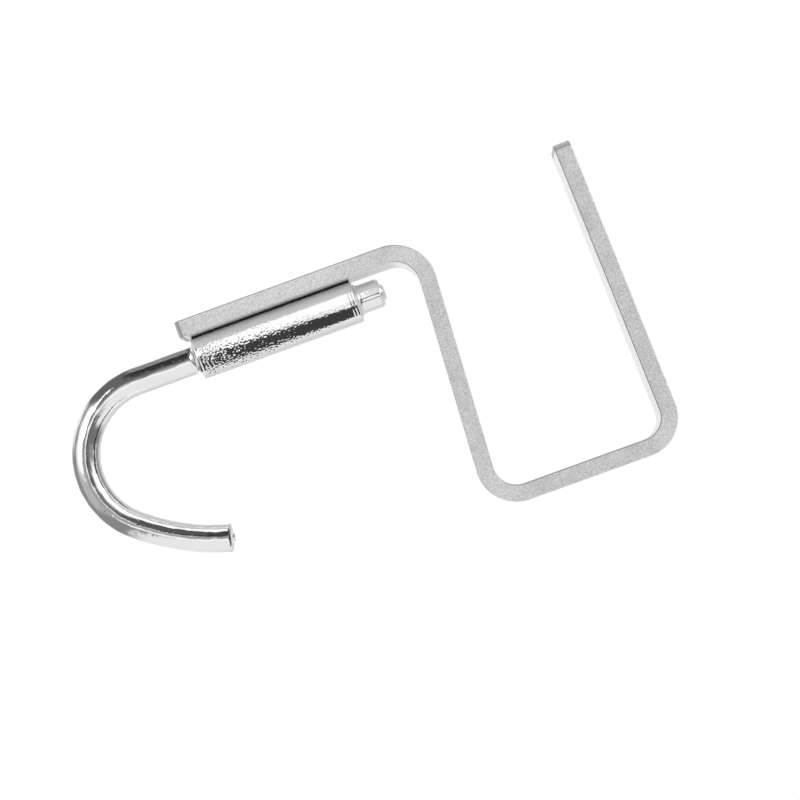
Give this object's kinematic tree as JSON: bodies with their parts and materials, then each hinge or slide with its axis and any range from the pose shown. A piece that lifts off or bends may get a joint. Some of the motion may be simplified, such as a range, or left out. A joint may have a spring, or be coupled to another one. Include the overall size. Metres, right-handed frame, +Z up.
{
  "type": "desk bag hook",
  "caption": "Desk bag hook: a bent strip clamps over a desktop's edge, and a round rod hook swivels below in a barrel welded to the strip's arm.",
  "frame": {"origin": "middle of the gap on the foot's inner face, where the clamp lies against the desktop's edge", "axes": "+X towards the user, away from the desktop; +Z up, along the foot, the arm and the hook's swivel axis; Y along the desk's edge, across the strip"},
  "size_m": [0.0491, 0.01, 0.0899],
  "materials": {
    "satin_plate": "fine-blasted satin silver plate",
    "pebbled_chrome": "bright chrome over a pebbled surface",
    "polished_chrome": "bright polished chrome",
    "weld": "rough heat-darkened weld"
  },
  "bodies": {
    "clamp": {"clamp_bracket": "satin_plate", "swivel_barrel": "pebbled_chrome", "front_weld": "weld", "rear_weld": "weld"},
    "hook": {"hook": "polished_chrome"}
  },
  "joints": [
    {"name": "hook_swivel", "type": "hinge", "parent": "clamp", "child": "hook", "pos_m": [-0.03492, 0, -0.03702], "axis": [0, 0, 1], "continuous": true}
  ]
}
